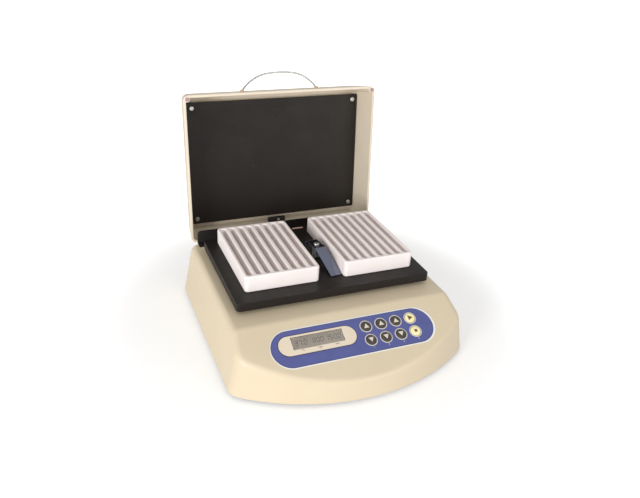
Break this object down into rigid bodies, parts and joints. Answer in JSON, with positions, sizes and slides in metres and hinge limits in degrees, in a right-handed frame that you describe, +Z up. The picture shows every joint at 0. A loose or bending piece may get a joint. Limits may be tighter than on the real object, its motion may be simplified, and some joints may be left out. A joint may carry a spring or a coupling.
{
  "type": "thermal mixer",
  "caption": "Bench instrument that heats and shakes two slotted tube plates on an orbiting platform under a hinged heated lid, with a sloping keypad front.",
  "frame": {"origin": "middle of the bounding box at the height the feet stand on, lid open", "axes": "+X to the instrument's right seen from the front, +Y to its back, +Z up"},
  "size_m": [0.289, 0.3589, 0.2735],
  "materials": {
    "housing": "satin moulded",
    "black_platform": "satin black",
    "black_sheet": "matt black",
    "black_panel": "matt black",
    "plate": "warm white",
    "steel": "polished",
    "fasteners": "zinc",
    "machined_steel": "ground",
    "hinge_steel": "brushed",
    "sheet_metal": "grey",
    "rubber": "matt",
    "overlay": "film",
    "surround": "film",
    "window": "clear",
    "display": "glass",
    "board": "laminate",
    "dark_plastic": "moulded",
    "dark_keys": "moulded",
    "yellow_keys": "moulded",
    "ferrules": "dull",
    "cutout": "ceramic",
    "probe": "ground",
    "insulation": "felt"
  },
  "bodies": {
    "base": {"base_housing": "housing", "base_plate": "sheet_metal", "rubber_feet": "rubber", "base_screws": "fasteners", "control_overlay": "overlay", "display_surround": "surround", "display_window": "window", "display_module": "display", "control_board": "board", "key_switches": "dark_plastic", "chassis_plate": "sheet_metal", "chassis_screws": "fasteners", "motor_can": "sheet_metal", "motor_magnets": "machined_steel", "motor_screws": "fasteners", "main_bearing": "machined_steel", "crank_bearings": "machined_steel", "power_jack": "dark_plastic", "switch_body": "dark_plastic", "seal_rail": "black_sheet", "hinge_base_leaves": "hinge_steel", "hinge_pins": "hinge_steel"},
    "drive": {"drive_shaft": "machined_steel", "motor_rotor": "machined_steel", "counterweight": "machined_steel"},
    "platform": {"platform_plate": "black_platform", "platform_heater": "rubber", "hub_bearing": "machined_steel", "platform_bearings": "machined_steel", "platform_probe": "probe", "thermal_cutout": "cutout", "clip_post": "steel", "clip_spring": "steel", "clip_screw": "steel"},
    "lid": {"lid_shell": "housing", "heater_panel": "black_panel", "lid_insulation": "insulation", "panel_screws": "fasteners", "lid_bumpers": "rubber", "cable_clamp": "black_sheet", "lid_handle": "steel", "handle_ferrules": "ferrules", "lid_hinge_leaves": "hinge_steel"},
    "clip": {"plate_clip": "steel"},
    "plate_left": {"plate_left": "plate"},
    "plate_right": {"plate_right": "plate"},
    "rocker": {"power_rocker": "dark_plastic"},
    "crank_1": {"idler_crank_1": "machined_steel"},
    "crank_2": {"idler_crank_2": "machined_steel"},
    "crank_3": {"idler_crank_3": "machined_steel"},
    "crank_4": {"idler_crank_4": "machined_steel"},
    "key_up_1": {"key_up_1": "dark_keys"},
    "key_down_1": {"key_down_1": "dark_keys"},
    "key_up_2": {"key_up_2": "dark_keys"},
    "key_down_2": {"key_down_2": "dark_keys"},
    "key_up_3": {"key_up_3": "dark_keys"},
    "key_down_3": {"key_down_3": "dark_keys"},
    "key_start": {"key_start": "yellow_keys"},
    "key_stop": {"key_stop": "yellow_keys"}
  },
  "joints": [
    {"name": "lid_hinge", "type": "hinge", "parent": "base", "child": "lid", "pos_m": [0, 0.11124, 0.06295], "axis": [1, 0, 0], "range_deg": [0, 94.9]},
    {"name": "drive_spin", "type": "hinge", "parent": "base", "child": "drive", "pos_m": [0, 0.00454, 0.047], "axis": [0, 0, 1], "continuous": true},
    {"name": "platform_orbit", "type": "hinge", "parent": "drive", "child": "platform", "pos_m": [0.001, 0.00454, 0.069], "axis": [0, 0, 1], "continuous": true},
    {"name": "plate_left_lift", "type": "slide", "parent": "platform", "child": "plate_left", "axis": [0, 0, 1], "range_m": [0, 0.06]},
    {"name": "plate_right_lift", "type": "slide", "parent": "platform", "child": "plate_right", "axis": [0, 0, 1], "range_m": [0, 0.06]},
    {"name": "clip_turn", "type": "hinge", "parent": "platform", "child": "clip", "pos_m": [0.0023, 0.00264, 0.0791], "axis": [0, 0, 1], "range_deg": [-13.2, 0]},
    {"name": "rocker_tilt", "type": "hinge", "parent": "base", "child": "rocker", "pos_m": [-0.062, 0.10704, 0.03], "axis": [1, 0, 0], "range_deg": [-18, 0]},
    {"name": "crank_1_spin", "type": "hinge", "parent": "base", "child": "crank_1", "pos_m": [-0.092, -0.04746, 0.047], "axis": [0, 0, 1], "continuous": true},
    {"name": "crank_2_spin", "type": "hinge", "parent": "base", "child": "crank_2", "pos_m": [0.092, -0.04746, 0.047], "axis": [0, 0, 1], "continuous": true},
    {"name": "crank_3_spin", "type": "hinge", "parent": "base", "child": "crank_3", "pos_m": [-0.092, 0.05654, 0.047], "axis": [0, 0, 1], "continuous": true},
    {"name": "crank_4_spin", "type": "hinge", "parent": "base", "child": "crank_4", "pos_m": [0.092, 0.05654, 0.047], "axis": [0, 0, 1], "continuous": true},
    {"name": "key_up_1_press", "type": "slide", "parent": "base", "child": "key_up_1", "axis": [0, 0.4337, -0.9011], "range_m": [0, 0.0004], "stiffness_N_per_m": 500},
    {"name": "key_down_1_press", "type": "slide", "parent": "base", "child": "key_down_1", "axis": [0, 0.4337, -0.9011], "range_m": [0, 0.0004], "stiffness_N_per_m": 500},
    {"name": "key_up_2_press", "type": "slide", "parent": "base", "child": "key_up_2", "axis": [0, 0.4337, -0.9011], "range_m": [0, 0.0004], "stiffness_N_per_m": 500},
    {"name": "key_down_2_press", "type": "slide", "parent": "base", "child": "key_down_2", "axis": [0, 0.4337, -0.9011], "range_m": [0, 0.0004], "stiffness_N_per_m": 500},
    {"name": "key_up_3_press", "type": "slide", "parent": "base", "child": "key_up_3", "axis": [0, 0.4337, -0.9011], "range_m": [0, 0.0004], "stiffness_N_per_m": 500},
    {"name": "key_down_3_press", "type": "slide", "parent": "base", "child": "key_down_3", "axis": [0, 0.4337, -0.9011], "range_m": [0, 0.0004], "stiffness_N_per_m": 500},
    {"name": "key_start_press", "type": "slide", "parent": "base", "child": "key_start", "axis": [0, 0.4337, -0.9011], "range_m": [0, 0.0004], "stiffness_N_per_m": 500},
    {"name": "key_stop_press", "type": "slide", "parent": "base", "child": "key_stop", "axis": [0, 0.4337, -0.9011], "range_m": [0, 0.0004], "stiffness_N_per_m": 500}
  ],
  "couplings": [
    {"joint": "platform_orbit", "follows": "drive_spin", "ratio": -1},
    {"joint": "crank_1_spin", "follows": "drive_spin", "ratio": 1},
    {"joint": "crank_2_spin", "follows": "drive_spin", "ratio": 1},
    {"joint": "crank_3_spin", "follows": "drive_spin", "ratio": 1},
    {"joint": "crank_4_spin", "follows": "drive_spin", "ratio": 1}
  ]
}
